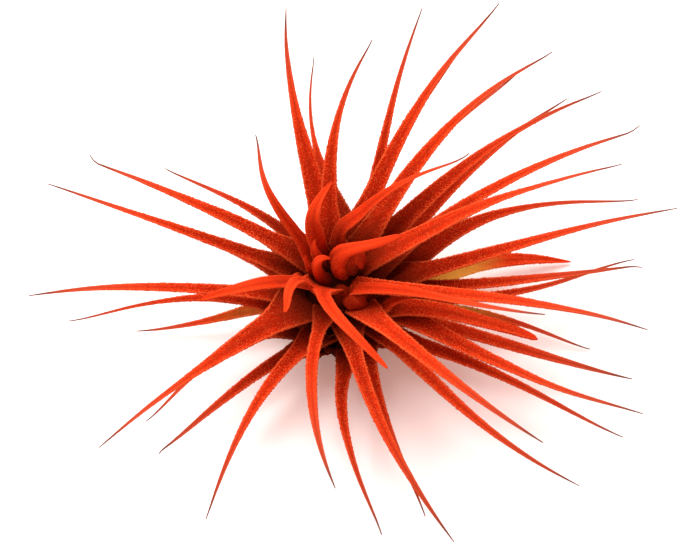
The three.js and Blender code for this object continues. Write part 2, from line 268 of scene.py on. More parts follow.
def blade_line(row, t):
    name, root_bearing, tip_bearing, reach, tip_height, root_height, arch, sway, width = row
    place = (root_bearing, stem_radius(root_height) + ROOT_GAP, root_height)
    root = on_bearing(*ROOTS.get(name, place))
    tip = on_bearing(tip_bearing, reach, tip_height)
    bend = on_bearing(tip_bearing + 90, sway, arch)
    shifts = (0.0,) + fine_shape(name, width)[1:]
    aside = np.polyval(np.polyfit(SHIFT_PLACES, shifts, 3), t)
    rightward = on_bearing(tip_bearing - 90, 1, 0)
    hook = np.clip((t - HOOK_START) / (1 - HOOK_START), 0, 1) ** 2
    shoulder = t / SHOULDER_AT * np.exp(1 - t / SHOULDER_AT)
    line = root + np.outer(t, tip - root) + np.outer(swell(t), bend) + np.outer(aside, rightward)
    line = line + np.outer(hook, TIP_HOOKS.get(name, (0, 0, 0)))
    return line + np.outer(shoulder, SHOULDERS.get(name, (0, 0, 0)))


def curl_points(row):
    return [np.array(point, float) for point in row[2:]]


def curl_line(row, t):
    root, lift, fold, tip = curl_points(row)
    shares = [(1 - t) ** 3, 3 * (1 - t) ** 2 * t, 3 * (1 - t) * t**2, t**3]
    return sum(np.outer(share, point) for share, point in zip(shares, (root, lift, fold, tip)))


print("middle of the first blade, mm:", blade_line(BLADES[0], np.array([0.5])).round(1))

# %% [markdown]
# ## Which way a leaf faces
# Each station of a leaf needs three directions: along the leaf, across it, and up out of its face. A blade
# lies level across. A young leaf curls in one plane and lies level across that plane.

# %% Set up the frame of a leaf


def unit(vectors):
    return vectors / np.linalg.norm(vectors, axis=1, keepdims=True)


def blade_across(row, along):
    return unit(np.cross(along, (0, 0, 1)))


def curl_across(row, along):
    root, lift, fold, tip = curl_points(row)
    side = np.cross(tip - root, lift + fold - root - tip)
    return unit(side - np.outer(along @ side, np.ones(3)) * along)


def leaf_frame(line, row, across_rule, twist):
    along = unit(np.gradient(line, axis=0))
    across = across_rule(row, along)
    up = np.cross(across, along)
    turn = np.cos(twist)[:, None]
    lean = np.sin(twist)[:, None]
    return along, across * turn + up * lean, up * turn - across * lean


print("across a leaf that points right:", blade_across(None, np.array([[1.0, 0.0, 0.0]]))[0])

# %% [markdown]
# ## The section of a blade
# Cut across, a real blade is a gutter: thick and fleshy along its keel, thin at its two margins, wide and
# wrapped round at its base, where it sheathes the stem. A sweep along a curve would keep one profile, so the
# section is worked out afresh at each station, as an arc outside and a flatter arc inside.
#
# Most bases flare alike, and some of the heart's flare more or hardly at all. Blunt blades keep their width
# longer and then round off. The scales stand out on both sides, so the skin itself is a share of a blade's
# width plus the width of a hair, which keeps the finest tips from vanishing.

# %% Work out the gutter of a blade
ARC_STEPS = 11
FLARE = 0.9
FLARES = {
    "leaf_left_4": 1.3, "leaf_left_9": 1.8, "leaf_front_3": 1.4, "leaf_front_8": 0.5, "leaf_right_6": 0.05,
    "leaf_right_7": 0.05, "leaf_right_13": 0.1, "leaf_back_3": 0.4, "leaf_back_4": 0.0, "leaf_back_8": 0.1,
}
FLARE_END = 0.24
BROAD_START = 0.05
BROAD_END = 0.65
BLUNT_POWERS = {
    "leaf_left_6": 0.6, "leaf_left_9": 0.45, "leaf_front_3": 0.5, "leaf_right_4": 0.4, "leaf_right_10": 0.75,
    "leaf_back_8": 0.8,
}
HAIR_WIDTH = 0.15
SKIN_SHARE = 0.95
INNER_WIDTHS = {"leaf_left_10": 4.9, "leaf_right_12": 4.2, "leaf_back_4": 2.6, "leaf_back_10": 5.6}
OPEN_SPAN = (0, 0.35)
ROLL_SPAN = (0.6, 1)
GUTTER_ANGLE = math.radians(66)
BASE_ANGLE = math.radians(50)
TIP_ROLL = math.radians(40)
KEEL_SHARE = 0.3
KEEL_LEAST = 0.1
KEEL_MOST = 1.1
MARGIN_WALL = 0.22


def smooth_step(x, low, high):
    s = np.clip((x - low) / (high - low), 0, 1)
    return s * s * (3 - 2 * s)


def blade_width(name, width, t):
    if name in BLUNT_POWERS:
        blade = FINE_SHAPES.get(name, (width,))[0] * (1 - t) ** BLUNT_POWERS[name]
    else:
        outer = fine_shape(name, width)[0]
        inner = INNER_WIDTHS.get(name, width)
        blade = outer * (1 - t) + (inner - outer) * (1 - smooth_step(t, BROAD_START, BROAD_END))
    start = smooth_step(t, -ROOT_ROUND, ROOT_ROUND) if name in ROOTS else 1
    flare = 1 + FLARES.get(name, FLARE) * (1 - smooth_step(t, 0, FLARE_END))
    return (HAIR_WIDTH + SKIN_SHARE * blade) * start * flare


def arc_section(width, half_angle, wall, keel):
    radius = width / (2 * math.sin(min(half_angle, math.pi / 2)))
    swing = np.sin(np.linspace(-math.pi / 2, math.pi / 2, ARC_STEPS))
    thick = wall + (keel - wall) * (1 - swing**2)
    outer_x = radius * np.sin(swing * half_angle)
    outer_y = radius * (1 - np.cos(swing * half_angle)) - keel / 2
    inner_x = outer_x - thick * np.sin(swing * half_angle)
    inner_y = outer_y + thick * np.cos(swing * half_angle)
    x = np.concatenate([outer_x, inner_x[::-1]])
    y = np.concatenate([outer_y, inner_y[::-1]])
    return x, y


def blade_section(row, t):
    width = float(blade_width(row[0], row[-1], t))
    angle = BASE_ANGLE + (GUTTER_ANGLE - BASE_ANGLE) * smooth_step(t, *OPEN_SPAN)
    angle = angle + TIP_ROLL * smooth_step(t, *ROLL_SPAN)
    keel = min(KEEL_SHARE * width + KEEL_LEAST, KEEL_MOST)
    return arc_section(width, float(angle), min(MARGIN_WALL, keel / 2), keel)


print("width of a 3 mm blade at its middle, mm:", blade_width("", 3, 0.5))

# %% [markdown]
# ## The section of a young leaf
# A young leaf hasn't unrolled yet: it is nearly round, a little pressed flat, and only a crease along its
# face shows where its margins meet.

# %% Work out the roll of a young leaf
ROLL_DEPTH = 0.85
ROLL_TIP_WIDTH = 0.15
ROLL_END_POWER = 10
NECK_END = 0.3
CREASE_DEPTH = 0.12
CREASE_WIDTH = 0.14


def curl_section(row, t):
    full, power, blunt, neck_share = row[1]
    taper = blunt + (full - blunt) * (1 - t) ** power
    neck = neck_share + (1 - neck_share) * smooth_step(t, 0, NECK_END)
    width = ROLL_TIP_WIDTH + taper * neck * math.sqrt(1 - t**ROLL_END_POWER)
    turn = math.pi + (np.arange(2 * ARC_STEPS) + 0.5) * math.pi / ARC_STEPS
    x = width / 2 * np.cos(turn)
    crease = CREASE_DEPTH * np.exp(-((np.cos(turn) / 2 / CREASE_WIDTH) ** 2)) * (np.sin(turn) > 0)
    return x, ROLL_DEPTH * width * (np.sin(turn) / 2 - crease)


print("corners in a section:", len(curl_section(HEART[0], 0.5)[0]))

# %% [markdown]
# ## The skin of a leaf
# The stations are joined into one closed mesh. Each point also carries what its finish needs later: how far
# along the leaf it is, how near a margin, how dusty and how dry, and which way the leaf runs, so that the
# scales can lean with it. Scales crowd at the margins and shrink toward the tip.

# %% Build the skin
STATIONS = 56
STATION_SPREAD = 1.1
SMOOTH_SLIM = 0.5
SMOOTH_RIM = 0.3
DRYNESS = 0.85
DRY_SPAN = (0.86, 0.98)
DUSTINESS = 0.9
DUST_SPAN = (0.45, 1.05)
KEEL_CROWD = 0.7
MARGIN_CROWD = 0.6
CROWD_SPAN = (0.8, 0.97)
SLIM_LOSS = 0.7
SLIM_SPAN = (0.4, 0.95)
MARGIN_GROWTH = 0.3
MARGIN_POWER = 8
YOUNG_MARGIN = 0.8
SMOOTH = (
    "leaf_left_4", "leaf_left_6", "leaf_left_9", "leaf_front_3", "leaf_right_7", "leaf_back_4", "leaf_back_8",
    "heart_leaf_1",
)
TWIST_RANGE = 0.35
TWIST_SPAN = (0.1, 0.9)
WANDER = 0.08


def loft(count, sides):
    faces = []
    for step in range(count - 1):
        for side in range(sides):
            here = step * sides + side
            beside = step * sides + (side + 1) % sides
            faces.append((here, here + sides, beside + sides, beside))
    last = (count - 1) * sides
    for k in range(sides // 2 - 1):
        faces.append((k, k + 1, sides - 2 - k, sides - 1 - k))
        faces.append((last + sides - 1 - k, last + sides - 2 - k, last + k + 1, last + k))
    return faces


def wander(line, t, amount):
    for k, push in enumerate(rng.normal(0, amount, (4, 3))):
        line = line + np.outer(np.sin(math.pi * (k + 2) * t) * t, push)
    return line


def add_mesh(name, points, faces, values, flow):
    mesh = bpy.data.meshes.new(name)
    mesh.from_pydata((points * MM).tolist(), [], faces)
    for label, value in values.items():
        mesh.attributes.new(label, "FLOAT", "POINT").data.foreach_set("value", value.astype(np.float32))
    attribute = mesh.attributes.new("flow", "FLOAT_VECTOR", "POINT")
    attribute.data.foreach_set("vector", flow.astype(np.float32).ravel())
    mesh.shade_smooth()
    made = bpy.data.objects.new(name, mesh)
    bpy.context.collection.objects.link(made)
    return made


def leaf_skin(row, line_rule, across_rule, section_rule, twist_range=TWIST_RANGE, stations=STATIONS):
    t = np.linspace(0, 1, stations) ** STATION_SPREAD
    line = wander(line_rule(row, t), t, WANDER * twist_range)
    twist = rng.uniform(-twist_range, twist_range) * smooth_step(t, *TWIST_SPAN)
    along, across, up = leaf_frame(line, row, across_rule, twist)
    rings = []
    for k in range(stations):
        x, y = section_rule(row, t[k])
        rings.append(line[k] + np.outer(x, across[k]) + np.outer(y, up[k]))
    sides = 2 * ARC_STEPS
    arc = np.abs(np.sin(np.linspace(-math.pi / 2, math.pi / 2, ARC_STEPS)))
    if section_rule is curl_section:
        arc = arc * YOUNG_MARGIN
    along_skin = np.repeat(t, sides)
    margin = np.tile(np.concatenate([arc, arc[::-1]]), stations)
    smooth = SMOOTH_SLIM if row[0] in SMOOTH else 1.0
    sharp = row[0] not in BLUNT_POWERS
    pointed = sharp and section_rule is blade_section
    slimming = 1 - SLIM_LOSS * smooth_step(along_skin, *SLIM_SPAN) * sharp
    values = {
        "along": along_skin,
        # rim is the strength of the painted highlight along the margins, weaker on smooth leaves
        "rim": np.full(len(along_skin), SMOOTH_RIM if row[0] in SMOOTH else 1.0),
        # under marks the underside, which the finish darkens as painted shade
        "under": np.tile(np.repeat([1.0, 0.0], ARC_STEPS), stations),
        "margin": margin,
        "dry": DRYNESS * smooth_step(along_skin, *DRY_SPAN) * pointed,
        "dust": DUSTINESS * smooth_step(along_skin, *DUST_SPAN) * pointed,
        "crowd": (KEEL_CROWD + MARGIN_CROWD * margin) * (1 - smooth_step(along_skin, *CROWD_SPAN)),
        "slim": smooth * slimming * (1 + MARGIN_GROWTH * margin**MARGIN_POWER),
    }
    return add_mesh(row[0] + "_skin", np.concatenate(rings), loft(stations, sides), values,
                    np.repeat(along, sides, axis=0))


print("faces of one leaf's skin:", (STATIONS - 1) * 2 * ARC_STEPS)

# %% [markdown]
# ## Shader maths in plain Python
# Finishes are easier to read as sums than as boxes and wires. This small class wraps a socket, so that an
# expression such as `1 - mask` adds its Math node by itself, and one method adds any other node.

# %% Wrap sockets so that sums add nodes


class Value:
    def __init__(self, finish, socket):
        self.finish = finish
        self.socket = socket

    def math(self, operation, first, second):
        return self.finish.node("ShaderNodeMath", {"operation": operation}, {0: first, 1: second})

    def __add__(self, other):
        return self.math("ADD", self, other)

    def __radd__(self, other):
        return self.math("ADD", other, self)

    def __sub__(self, other):
        return self.math("SUBTRACT", self, other)

    def __rsub__(self, other):
        return self.math("SUBTRACT", other, self)

    def __mul__(self, other):
        return self.math("MULTIPLY", self, other)

    def __rmul__(self, other):
        return self.math("MULTIPLY", other, self)

    def rise(self, low, high):
        ends = {"Value": self, "From Min": low, "From Max": high}
        return self.finish.node("ShaderNodeMapRange", {"interpolation_type": "SMOOTHSTEP"}, ends)


class Finish:
    def __init__(self, name):
        self.material = bpy.data.materials.new(name)
        self.material.use_nodes = True
        self.tree = self.material.node_tree
        self.shader = self.tree.nodes["Principled BSDF"]

    def node(self, kind, settings=None, inputs=None, output=0):
        made = self.tree.nodes.new(kind)
        for label, value in (settings or {}).items():
            setattr(made, label, value)
        for key, value in (inputs or {}).items():
            self.feed(made.inputs[key], value)
        return Value(self, made.outputs[output])

    def feed(self, socket, value):
        if isinstance(value, Value):
            self.tree.links.new(value.socket, socket)
        else:
            socket.default_value = value

    def mix(self, mask, first, second):
        colours = {"Factor": mask, 6: first, 7: second}
        return self.node("ShaderNodeMix", {"data_type": "RGBA"}, colours, 2)

    def attribute(self, label):
        return self.node("ShaderNodeAttribute", {"attribute_name": label}, output="Fac")

    def noise(self, per_metre, detail=2.0):
        place = self.node("ShaderNodeTexCoord", output="Object")
        return self.node("ShaderNodeTexNoise", {}, {"Vector": place, "Scale": per_metre, "Detail": detail})

    def surface(self, **inputs):
        for label, value in inputs.items():
            self.feed(self.shader.inputs[label.replace("_", " ")], value)


print("shader helper ready")

# %% [markdown]
# ## The dyed, velvety finish
# Dye sits unevenly: darker and lighter red in blotches that follow the grain of the skin, orange on the
# raised scales, dustier outward and grey-brown on the dry tips. Where the dye missed the lowest leaves, their
# own green shows. Painted shade darkens the middle across each blade and its underside toward dark red, and a
# painted shade of nearly black maroon darkens the leaf bases inside the crown. A thin painted highlight of
# orange runs along the margins. A little sheen stands for the finest hairs, and a bump for the grain of the
# skin. Each span below is where one of these tones starts and where it is full.

# %% Mix the leaf finish
# painted shade: the nearly black maroon that darkens leaf bases inside the crown
CROWN_SHADE_MAROON = (0.12, 0.008, 0.002, 1)
DEEP_RED = (0.2, 0.006, 0.001, 1)
RED = (0.58, 0.018, 0.001, 1)
ORANGE = (0.8, 0.052, 0.01, 1)
DARK_FUZZ = (0.62, 0.02, 0.001, 1)
LIGHT_FUZZ = (1.0, 0.17, 0.045, 1)
# painted highlight: the pale orange line along lit margins
MARGIN_HIGHLIGHT = (1.0, 0.15, 0.04, 1)
DUSTY_RED = (0.36, 0.076, 0.04, 1)
TIP_BROWN = (0.14, 0.055, 0.045, 1)
OLIVE = (0.22, 0.1, 0.01, 1)
GREEN = (1.0, 0.6, 0.1, 1)
# painted shade: share of dark red on every blade's underside
UNDERSIDE_SHADE = 0.25
GRAIN_PER_METRE = 5200
GRAIN_SHARE = 0.7
GRAIN_BUMP = 0.6
GRAIN_DEPTH = 0.05 * MM
BLOTCH_PER_METRE = 500
BLOTCH_SHARE = 0.3
LEAST_STRENGTH = 0.5
RED_SPAN = (0.4, 0.6)
ORANGE_SPAN = (0.25, 0.7)
FUZZ_SPAN = (0.45, 0.75)
SCALE_SPAN = (0.05, 0.2)
# share of orange that a full tone adds; the tone is partly dye and partly painted light
DYE_AND_LIGHT_ORANGE = 0.4
# painted shade: how much darker red the middle across a blade is than its margins
GUTTER_SHADE = 0.35
GUTTER_SHADE_SPAN = (0.1, 0.8)
RIM_SPAN = (0.95, 1.0)
# painted highlight: strength of the pale orange line along the margins
RIM_HIGHLIGHT = 0.75
RIM_FADE = 0.7
BARE_SHARE = 0.8
BARE_BLOTCH = 0.3


def leaf_finish(name, outer_base, outer_share):
    finish = Finish(name)
    grain = finish.noise(GRAIN_PER_METRE)
    blotch = finish.noise(BLOTCH_PER_METRE)
    along = finish.attribute("along")
    margin = finish.attribute("margin")
    scale = finish.attribute("scale")
    # the tone is partly the leaf's dye and partly painted light: bright on upper leaves, dull on shaded low
    # ones
    dye_and_light = finish.attribute("dye_and_light")
    bare = finish.attribute("bare")
    strength = dye_and_light * (1 - LEAST_STRENGTH) + LEAST_STRENGTH
    patches = (grain * GRAIN_SHARE + blotch * BLOTCH_SHARE).rise(*RED_SPAN)
    skin = finish.mix(patches * strength, DEEP_RED, RED)
    skin = finish.mix(along.rise(*ORANGE_SPAN) * (dye_and_light * outer_share + outer_base), skin, ORANGE)
    fuzz = finish.mix(scale.rise(*FUZZ_SPAN), DARK_FUZZ, LIGHT_FUZZ)
    colour = finish.mix(scale.rise(*SCALE_SPAN) * strength, skin, fuzz)
    # painted light and dye: leaves of high tone are pushed further toward bright orange
    colour = finish.mix(dye_and_light * dye_and_light * DYE_AND_LIGHT_ORANGE, colour, ORANGE)
    colour = finish.mix(finish.attribute("dust"), colour, DUSTY_RED)
    # painted shade: the middle across each blade, where the gutter lies, is darkened toward dark red
    colour = finish.mix(GUTTER_SHADE - margin.rise(*GUTTER_SHADE_SPAN) * GUTTER_SHADE, colour, DEEP_RED)
    # painted highlight: a thin pale orange line along the margins, fading toward the tip
    rim = margin.rise(*RIM_SPAN) * finish.attribute("rim")
    colour = finish.mix(rim * (RIM_HIGHLIGHT - along * RIM_FADE), colour, MARGIN_HIGHLIGHT)
    # painted shade: the underside of every leaf is darkened
    colour = finish.mix(finish.attribute("under") * UNDERSIDE_SHADE, colour, DEEP_RED)
    colour = finish.mix(finish.attribute("dry"), colour, TIP_BROWN)
    unripe = finish.mix(dye_and_light, OLIVE, GREEN)
    colour = finish.mix(bare * (BARE_SHARE + blotch * BARE_BLOTCH), colour, unripe)
    # painted shade: leaf bases inside the crown are darkened toward nearly black maroon
    colour = finish.mix(finish.attribute("crown_shade"), colour, CROWN_SHADE_MAROON)
    bump_inputs = {"Height": grain, "Strength": GRAIN_BUMP, "Distance": GRAIN_DEPTH}
    finish.surface(Base_Color=colour, Roughness=0.8, Normal=finish.node("ShaderNodeBump", {}, bump_inputs))
    finish.surface(Sheen_Weight=0.02, Sheen_Roughness=0.4, Sheen_Tint=(1.0, 0.25, 0.08, 1))
    finish.surface(Specular_IOR_Level=0.02)
    return finish.material


leaf_material = leaf_finish("dyed leaf", 0.5, 0.5)
young_material = leaf_finish("dyed young leaf", 0.0, 0.9)
print("leaf finishes:", leaf_material.name, "and", young_material.name)

# %% [markdown]
# ## Velvet of scales
# Thousands of tiny scales stand on a leaf and lean toward its tip. Particles and hair would be lost when the
# model leaves Blender, so Geometry Nodes scatter them as real faces: points on the skin, one four-faced
# scale on each, then everything realised and given its finish. The normals of a scale lean toward the skin's,
# so that the velvet shines softly and doesn't glitter.

# %% Build the scatter of scales
TINT_LEAST = 0.25
TINT_MOST = 1.0
STRAY = 0.6
LEAST_SIZE = (0.8, 0.6, 0.4)
MOST_SIZE = (1.3, 1.0, 1.2)
SKIN_LEAN = 3.0


def add_node(tree, kind, settings=None, inputs=None):
    made = tree.nodes.new(kind)
    for label, value in (settings or {}).items():
        setattr(made, label, value)
    for key, value in (inputs or {}).items():
        if isinstance(value, bpy.types.NodeSocket):
            tree.links.new(value, made.inputs[key])
        else:
            made.inputs[key].default_value = value
    return made


def named(tree, label, kind="FLOAT"):
    found = add_node(tree, "GeometryNodeInputNamedAttribute", {"data_type": kind}, {"Name": label})
    return found.outputs["Attribute"]


def vector_step(tree, operation, inputs):
    return add_node(tree, "ShaderNodeVectorMath", {"operation": operation}, inputs).outputs[0]


def velvet_tree(material):
    tree = bpy.data.node_groups.new("velvet of scales", "GeometryNodeTree")
    face = tree.interface
    face.new_socket("Skin", in_out="INPUT", socket_type="NodeSocketGeometry")
    for label in ("Scales per square metre", "Scale length", "Scale width", "Lean"):
        face.new_socket(label, in_out="INPUT", socket_type="NodeSocketFloat")
    face.new_socket("Seed", in_out="INPUT", socket_type="NodeSocketInt")
    face.new_socket("Leaf", in_out="OUTPUT", socket_type="NodeSocketGeometry")
    start = tree.nodes.new("NodeGroupInput")
    sizes = start.outputs
    density_inputs = {0: named(tree, "crowd"), 1: sizes["Scales per square metre"]}
    density = add_node(tree, "ShaderNodeMath", {"operation": "MULTIPLY"}, density_inputs)
    spread_inputs = {"Mesh": sizes["Skin"], "Density": density.outputs[0], "Seed": sizes["Seed"]}
    spread = add_node(tree, "GeometryNodeDistributePointsOnFaces", {}, spread_inputs)
    tint_inputs = {2: TINT_LEAST, 3: TINT_MOST, "Seed": sizes["Seed"]}
    tint = add_node(tree, "FunctionNodeRandomValue", {"data_type": "FLOAT"}, tint_inputs)
    mark_inputs = {"Geometry": spread.outputs["Points"], "Name": "scale", "Value": tint.outputs[1]}
    mark = add_node(tree, "GeometryNodeStoreNamedAttribute", {"data_type": "FLOAT"}, mark_inputs)
    way_inputs = {"Geometry": mark.outputs["Geometry"], "Name": "skin way", "Value": spread.outputs["Normal"]}
    mark = add_node(tree, "GeometryNodeStoreNamedAttribute", {"data_type": "FLOAT_VECTOR"}, way_inputs)
    half = add_node(tree, "ShaderNodeMath", {"operation": "MULTIPLY"}, {0: sizes["Scale width"], 1: 0.5})
    scale_inputs = {"Vertices": 3, "Radius Bottom": half.outputs[0], "Depth": sizes["Scale length"]}
    scale = add_node(tree, "GeometryNodeMeshCone", {}, scale_inputs)
    lean = vector_step(tree, "SCALE", {0: named(tree, "flow", "FLOAT_VECTOR"), "Scale": sizes["Lean"]})
    stray_inputs = {0: (-STRAY,) * 3, 1: (STRAY,) * 3, "Seed": sizes["Seed"]}
    stray = add_node(tree, "FunctionNodeRandomValue", {"data_type": "FLOAT_VECTOR"}, stray_inputs)
    aim = vector_step(tree, "ADD", {0: spread.outputs["Normal"], 1: lean})
    aim = vector_step(tree, "ADD", {0: aim, 1: stray.outputs[0]})
    turn = add_node(tree, "FunctionNodeAlignRotationToVector", {"axis": "Z"}, {"Vector": aim})
    random_inputs = {0: LEAST_SIZE, 1: MOST_SIZE, "Seed": sizes["Seed"]}
    random = add_node(tree, "FunctionNodeRandomValue", {"data_type": "FLOAT_VECTOR"}, random_inputs)
    stand_inputs = {
        "Points": mark.outputs["Geometry"],
        "Instance": scale.outputs["Mesh"],
        "Rotation": turn.outputs["Rotation"],
        "Scale": vector_step(tree, "SCALE", {0: random.outputs[0], "Scale": named(tree, "slim")}),
    }
    stand = add_node(tree, "GeometryNodeInstanceOnPoints", {}, stand_inputs)
    join = add_node(tree, "GeometryNodeJoinGeometry", {}, {"Geometry": stand.outputs["Instances"]})
    tree.links.new(sizes["Skin"], join.inputs["Geometry"])
    real = add_node(tree, "GeometryNodeRealizeInstances", {}, {"Geometry": join.outputs["Geometry"]})
    skin_way = vector_step(tree, "SCALE", {0: named(tree, "skin way", "FLOAT_VECTOR"), "Scale": SKIN_LEAN})
    own_way = add_node(tree, "GeometryNodeInputNormal")
    way = vector_step(tree, "ADD", {0: skin_way, 1: own_way.outputs[0]})
    way = vector_step(tree, "NORMALIZE", {0: way})
    soft_inputs = {"Mesh": real.outputs["Geometry"], "Custom Normal": way}
    soft = add_node(tree, "GeometryNodeSetMeshNormal", {"mode": "FREE", "domain": "POINT"}, soft_inputs)
    painted_inputs = {"Geometry": soft.outputs["Mesh"], "Material": material}
    painted = add_node(tree, "GeometryNodeSetMaterial", {}, painted_inputs)
    end = tree.nodes.new("NodeGroupOutput")
    tree.links.new(painted.outputs["Geometry"], end.inputs["Leaf"])
    return tree


def socket_name(tree, label):
    return next(item.identifier for item in tree.interface.items_tree if item.name == label)


def apply_tree(start, tree, name, sizes):
    step = start.modifiers.new("made by nodes", "NODES")
    step.node_group = tree
    for label, value in sizes.items():
        step[socket_name(tree, label)] = value
    start.update_tag()
    view = bpy.context.evaluated_depsgraph_get()
    mesh = bpy.data.meshes.new_from_object(start.evaluated_get(view), depsgraph=view)
    mesh.name = name
    made = bpy.data.objects.new(name, mesh)
    bpy.context.collection.objects.link(made)
    bpy.data.objects.remove(start)
    return made


leaf_velvet = velvet_tree(leaf_material)
young_velvet = velvet_tree(young_material)
print("velvet tree nodes:", len(leaf_velvet.nodes))

# %% [markdown]
# ## Growing the leaves
# Every leaf is a piece of its own that stands for its solid. No two took the dye alike, and each leaf's tone
# also
# carries painted light: the upper ones are painted bright as if well lit, the low ones dull as if in the
# shade of the leaves above, and the lowest are bare near their base. Each row gives the tone, how dark the
# painted shade at the base is and how far along the leaf that painted shade ends. Each bare part has its end
# along the leaf and how bare it is. All of it is written on the leaf as attributes.

# %% Grow every leaf
VELVET = {"Scales per square metre": 18e6, "Scale length": 0.14 * MM, "Scale width": 0.26 * MM, "Lean": 0.4}
# each row: tone, partly dye and partly painted light, then how dark the painted base shade is and where it
# ends
BRIGHT_TONE_AND_SHADE = (1.0, 0.5, 0.16)
MIDDLE_TONE_AND_SHADE = (0.75, 0.8, 0.24)
DULL_TONE_AND_SHADE = (0.2, 0.9, 0.32)
BRIGHT_LIT = ("leaf_left_6", "leaf_left_9", "leaf_front_3", "leaf_back_4")
DULL_SHADED = (
    "leaf_left_8", "leaf_left_11", "leaf_left_13", "leaf_left_14", "leaf_front_5", "leaf_right_8",
    "leaf_right_9", "leaf_right_12", "leaf_back_2", "leaf_back_6", "leaf_back_11", "leaf_back_12",
    "leaf_back_13",
)
OWN_TONES_AND_SHADES = {
    "leaf_left_3": (0.0, 0.9, 0.55),
    "leaf_left_4": (1.0, 0.2, 0.1),
    "leaf_left_10": (0.62, 0.8, 0.24),
    "leaf_left_12": (0.15, 0.9, 0.4),
    "leaf_front_2": (1.0, 0.6, 0.3),
    "leaf_front_6": (0.5, 0.8, 0.26),
    "leaf_front_8": (1.0, 0.35, 0.25),
    "leaf_right_1": (0.9, 0.7, 0.22),
    "leaf_right_3": (0.6, 0.85, 0.26),
    "leaf_right_5": (0.5, 0.5, 0.2),
    "leaf_right_6": (1.0, 0.0, 0.1),
    "leaf_right_7": (1.0, 0.0, 0.1),
    "leaf_right_10": (1.0, 0.3, 0.1),
    "leaf_right_11": (0.6, 0.9, 0.28),
    "leaf_right_13": (1.0, 0.75, 0.19),
    "leaf_right_14": (0.6, 0.9, 0.3),
    "leaf_back_1": (0.55, 0.6, 0.35),
    "leaf_back_7": (1.0, 0.6, 0.2),
    "leaf_back_8": (0.9, 0.8, 0.22),
    "leaf_back_9": (1.0, 0.7, 0.22),
    "leaf_back_10": (0.1, 0.7, 0.6),
    "heart_leaf_1": (1.0, 0.9, 0.5),
    "heart_leaf_2": (1.4, 0.25, 0.3),
    "heart_leaf_3": (0.55, 0.72, 0.9),
    "heart_leaf_4": (1.0, 0.8, 0.5),
    "heart_leaf_5": (0.6, 0.95, 0.5),
    "heart_leaf_6": (0.4, 0.85, 1.0),
    "heart_leaf_7": (0.6, 0.95, 0.5),
    "heart_leaf_8": (0.0, 0.9, 1.9),
}
BARE_PARTS = {"leaf_left_8": (0.5, 0.3), "leaf_right_5": (0.5, 0.8), "leaf_right_10": (0.55, 1.0)}
BARE_FADE = (-0.2, 0.15)
# the painted shade at a leaf's base is full up to this share of its end, then fades out
CROWN_SHADE_START = 0.15
YOUNG_TWIST = 0.1
YOUNG_SEED = 100


def leaf_tone_and_shade(name):
    if name in OWN_TONES_AND_SHADES:
        return OWN_TONES_AND_SHADES[name]
    if name in BRIGHT_LIT:
        return BRIGHT_TONE_AND_SHADE
    return DULL_TONE_AND_SHADE if name in DULL_SHADED else MIDDLE_TONE_AND_SHADE


def dye_and_shade_leaf(piece, name):
    count = len(piece.data.vertices)
    along = np.zeros(count, np.float32)
    piece.data.attributes["along"].data.foreach_get("value", along)
    bare_end, bareness = BARE_PARTS.get(name, (1.0, 0.0))
    bare = bareness * (1 - smooth_step(along, bare_end + BARE_FADE[0], bare_end + BARE_FADE[1]))
    dye_and_light, shade_depth, shade_end = leaf_tone_and_shade(name)
    # painted shade at the leaf's base, full near the stem and gone at its end along the leaf
    crown_shade = shade_depth * (1 - smooth_step(along, CROWN_SHADE_START * shade_end, shade_end))
    values = {"dye_and_light": np.full(count, dye_and_light), "bare": bare, "crown_shade": crown_shade}
    for label, value in values.items():
        attribute = piece.data.attributes.new(label, "FLOAT", "POINT")
        attribute.data.foreach_set("value", value.astype(np.float32))


def finish_piece(piece, node):
    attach(piece, "root")
    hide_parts(node)


def grow(skin, name, tree, seed):
    piece = apply_tree(skin, tree, name + "_velvet", VELVET | {"Seed": seed})
    dye_and_shade_leaf(piece, name)
    finish_piece(piece, name)
    return len(piece.data.polygons)


faces = 0
for seed, row in enumerate(BLADES):
    skin = leaf_skin(row, blade_line, blade_across, blade_section)
    faces += grow(skin, row[0], leaf_velvet, seed)
for seed, row in enumerate(HEART):
    skin = leaf_skin(row, curl_line, curl_across, curl_section, twist_range=YOUNG_TWIST)
    faces += grow(skin, row[0], young_velvet, YOUNG_SEED + seed)
print("leaf faces:", faces)

# %% [markdown]
# ## The stem
# Below the crown the stem is hidden by the papery remains of old leaf bases, which overlap round it like
# the scales of a bulb. The core is a turned shape, and the old bases are placed by the golden angle, the
# turn by which plants space their leaves.

# %% Turn the core and lay the old leaf bases
CORE_SIDES = 32
CORE_STEPS = 18
CORE_INSET = 0.05
CORE_LEAST_RADIUS = 0.02
SHEATHS = 36
GOLDEN_ANGLE = 137.508
SHEATH_LOW = 1.0
SHEATH_HIGH = 7.5
SHEATH_REACH = 2.6
REACH_RANGE = (0.6, 1.1)
SHEATH_RISE = 1.8
RISE_RANGE = (0.4, 1.3)
SHEATH_ARCH = 1.0
SHEATH_WIDTH = 3.6
SHEATH_TIP_WIDTH = 0.1
SHEATH_TAPER_POWERS = (2.2, 0.6)
SHEATH_STATIONS = 12
SHEATH_KEEL = 0.3
SHEATH_ANGLE = GUTTER_ANGLE * 0.8
HUSK_LIGHT = (0.2, 0.03, 0.01, 1)
HUSK_DARK = (0.05, 0.008, 0.003, 1)
HUSK_SHADE = (0.03, 0.003, 0.001, 1)
FIBRE_PER_METRE = 2600
FIBRE_DETAIL = 4.0
FIBRE_SPAN = (0.35, 0.65)
FIBRE_DEPTH = 0.1 * MM
STAIN_PER_METRE = 260
STAIN_SPAN = (0.45, 0.65)
STAIN_SHARE = 0.6
SHADE_SPAN = (0.0, 0.6)
SHADE_SHARE = 0.95


